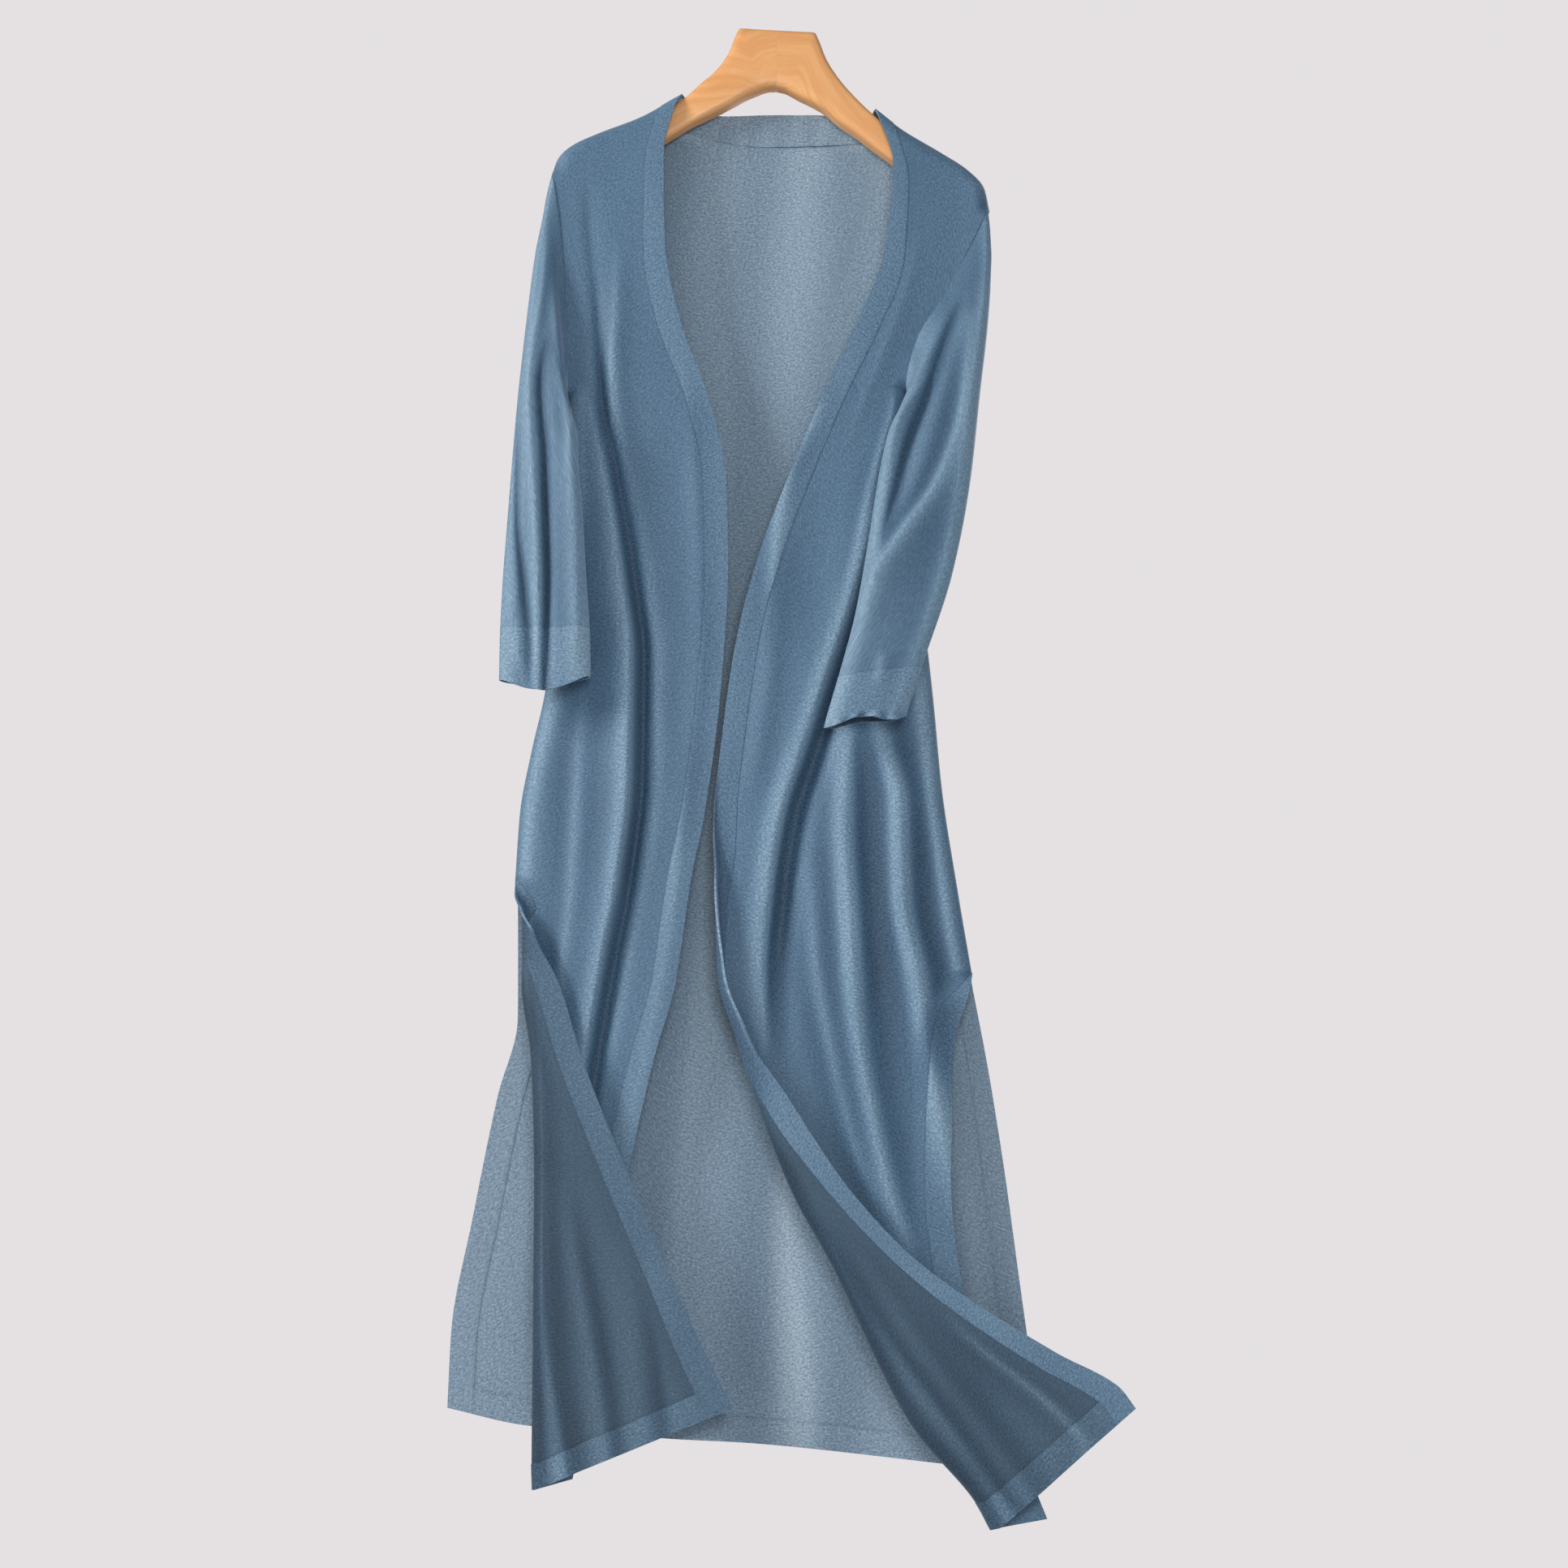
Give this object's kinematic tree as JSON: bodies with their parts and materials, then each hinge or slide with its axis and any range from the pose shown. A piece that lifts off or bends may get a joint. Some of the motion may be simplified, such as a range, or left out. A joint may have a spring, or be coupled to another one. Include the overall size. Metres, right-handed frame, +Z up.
{
  "type": "duster cardigan on a wooden hanger",
  "caption": "Long open-front knit duster cardigan with three-quarter sleeves and side slits, hanging flat on a wooden hanger with its lower front corners folded over.",
  "frame": {"origin": "middle of the flat top of the hanger, where the part is held", "axes": "+X towards the wearer's left (the viewer's right), -Y out of the front, +Z up"},
  "size_m": [0.5683, 0.0797, 1.3237],
  "materials": {
    "right_front": "fine blue knit, soft sheen on the folds, single layer",
    "right_front_band": "blue knit turned and stitched to a double edge, matt, slightly coarser",
    "right_front_slit_band": "blue knit turned and stitched to a double edge, matt, slightly coarser",
    "right_front_hem": "blue knit turned and stitched to a double edge, matt, slightly coarser",
    "left_front": "fine blue knit, soft sheen on the folds, single layer",
    "left_front_band": "blue knit turned and stitched to a double edge, matt, slightly coarser",
    "left_front_slit_band": "blue knit turned and stitched to a double edge, matt, slightly coarser",
    "left_front_hem": "blue knit turned and stitched to a double edge, matt, slightly coarser",
    "back": "fine blue knit, soft sheen on the folds, single layer",
    "back_hem": "blue knit turned and stitched to a double edge, matt, slightly coarser",
    "back_right_slit_band": "blue knit turned and stitched to a double edge, matt, slightly coarser",
    "back_left_slit_band": "blue knit turned and stitched to a double edge, matt, slightly coarser",
    "neck_band": "blue knit turned and stitched to a double edge, matt, slightly coarser",
    "right_sleeve": "fine blue knit, soft sheen on the folds, single layer",
    "right_cuff": "blue knit turned and stitched to a double edge, matt, slightly coarser",
    "left_sleeve": "fine blue knit, soft sheen on the folds, single layer",
    "left_cuff": "blue knit turned and stitched to a double edge, matt, slightly coarser",
    "hanger_right_half": "light varnished beech, satin, fine straight grain",
    "hanger_left_half": "light varnished beech, satin, fine straight grain"
  },
  "bodies": {
    "root": {"right_front": "right_front", "right_front_band": "right_front_band", "right_front_slit_band": "right_front_slit_band", "right_front_hem": "right_front_hem", "left_front": "left_front", "left_front_band": "left_front_band", "left_front_slit_band": "left_front_slit_band", "left_front_hem": "left_front_hem", "back": "back", "back_hem": "back_hem", "back_right_slit_band": "back_right_slit_band", "back_left_slit_band": "back_left_slit_band", "neck_band": "neck_band", "right_sleeve": "right_sleeve", "right_cuff": "right_cuff", "left_sleeve": "left_sleeve", "left_cuff": "left_cuff", "hanger_right_half": "hanger_right_half", "hanger_left_half": "hanger_left_half"}
  },
  "joints": []
}
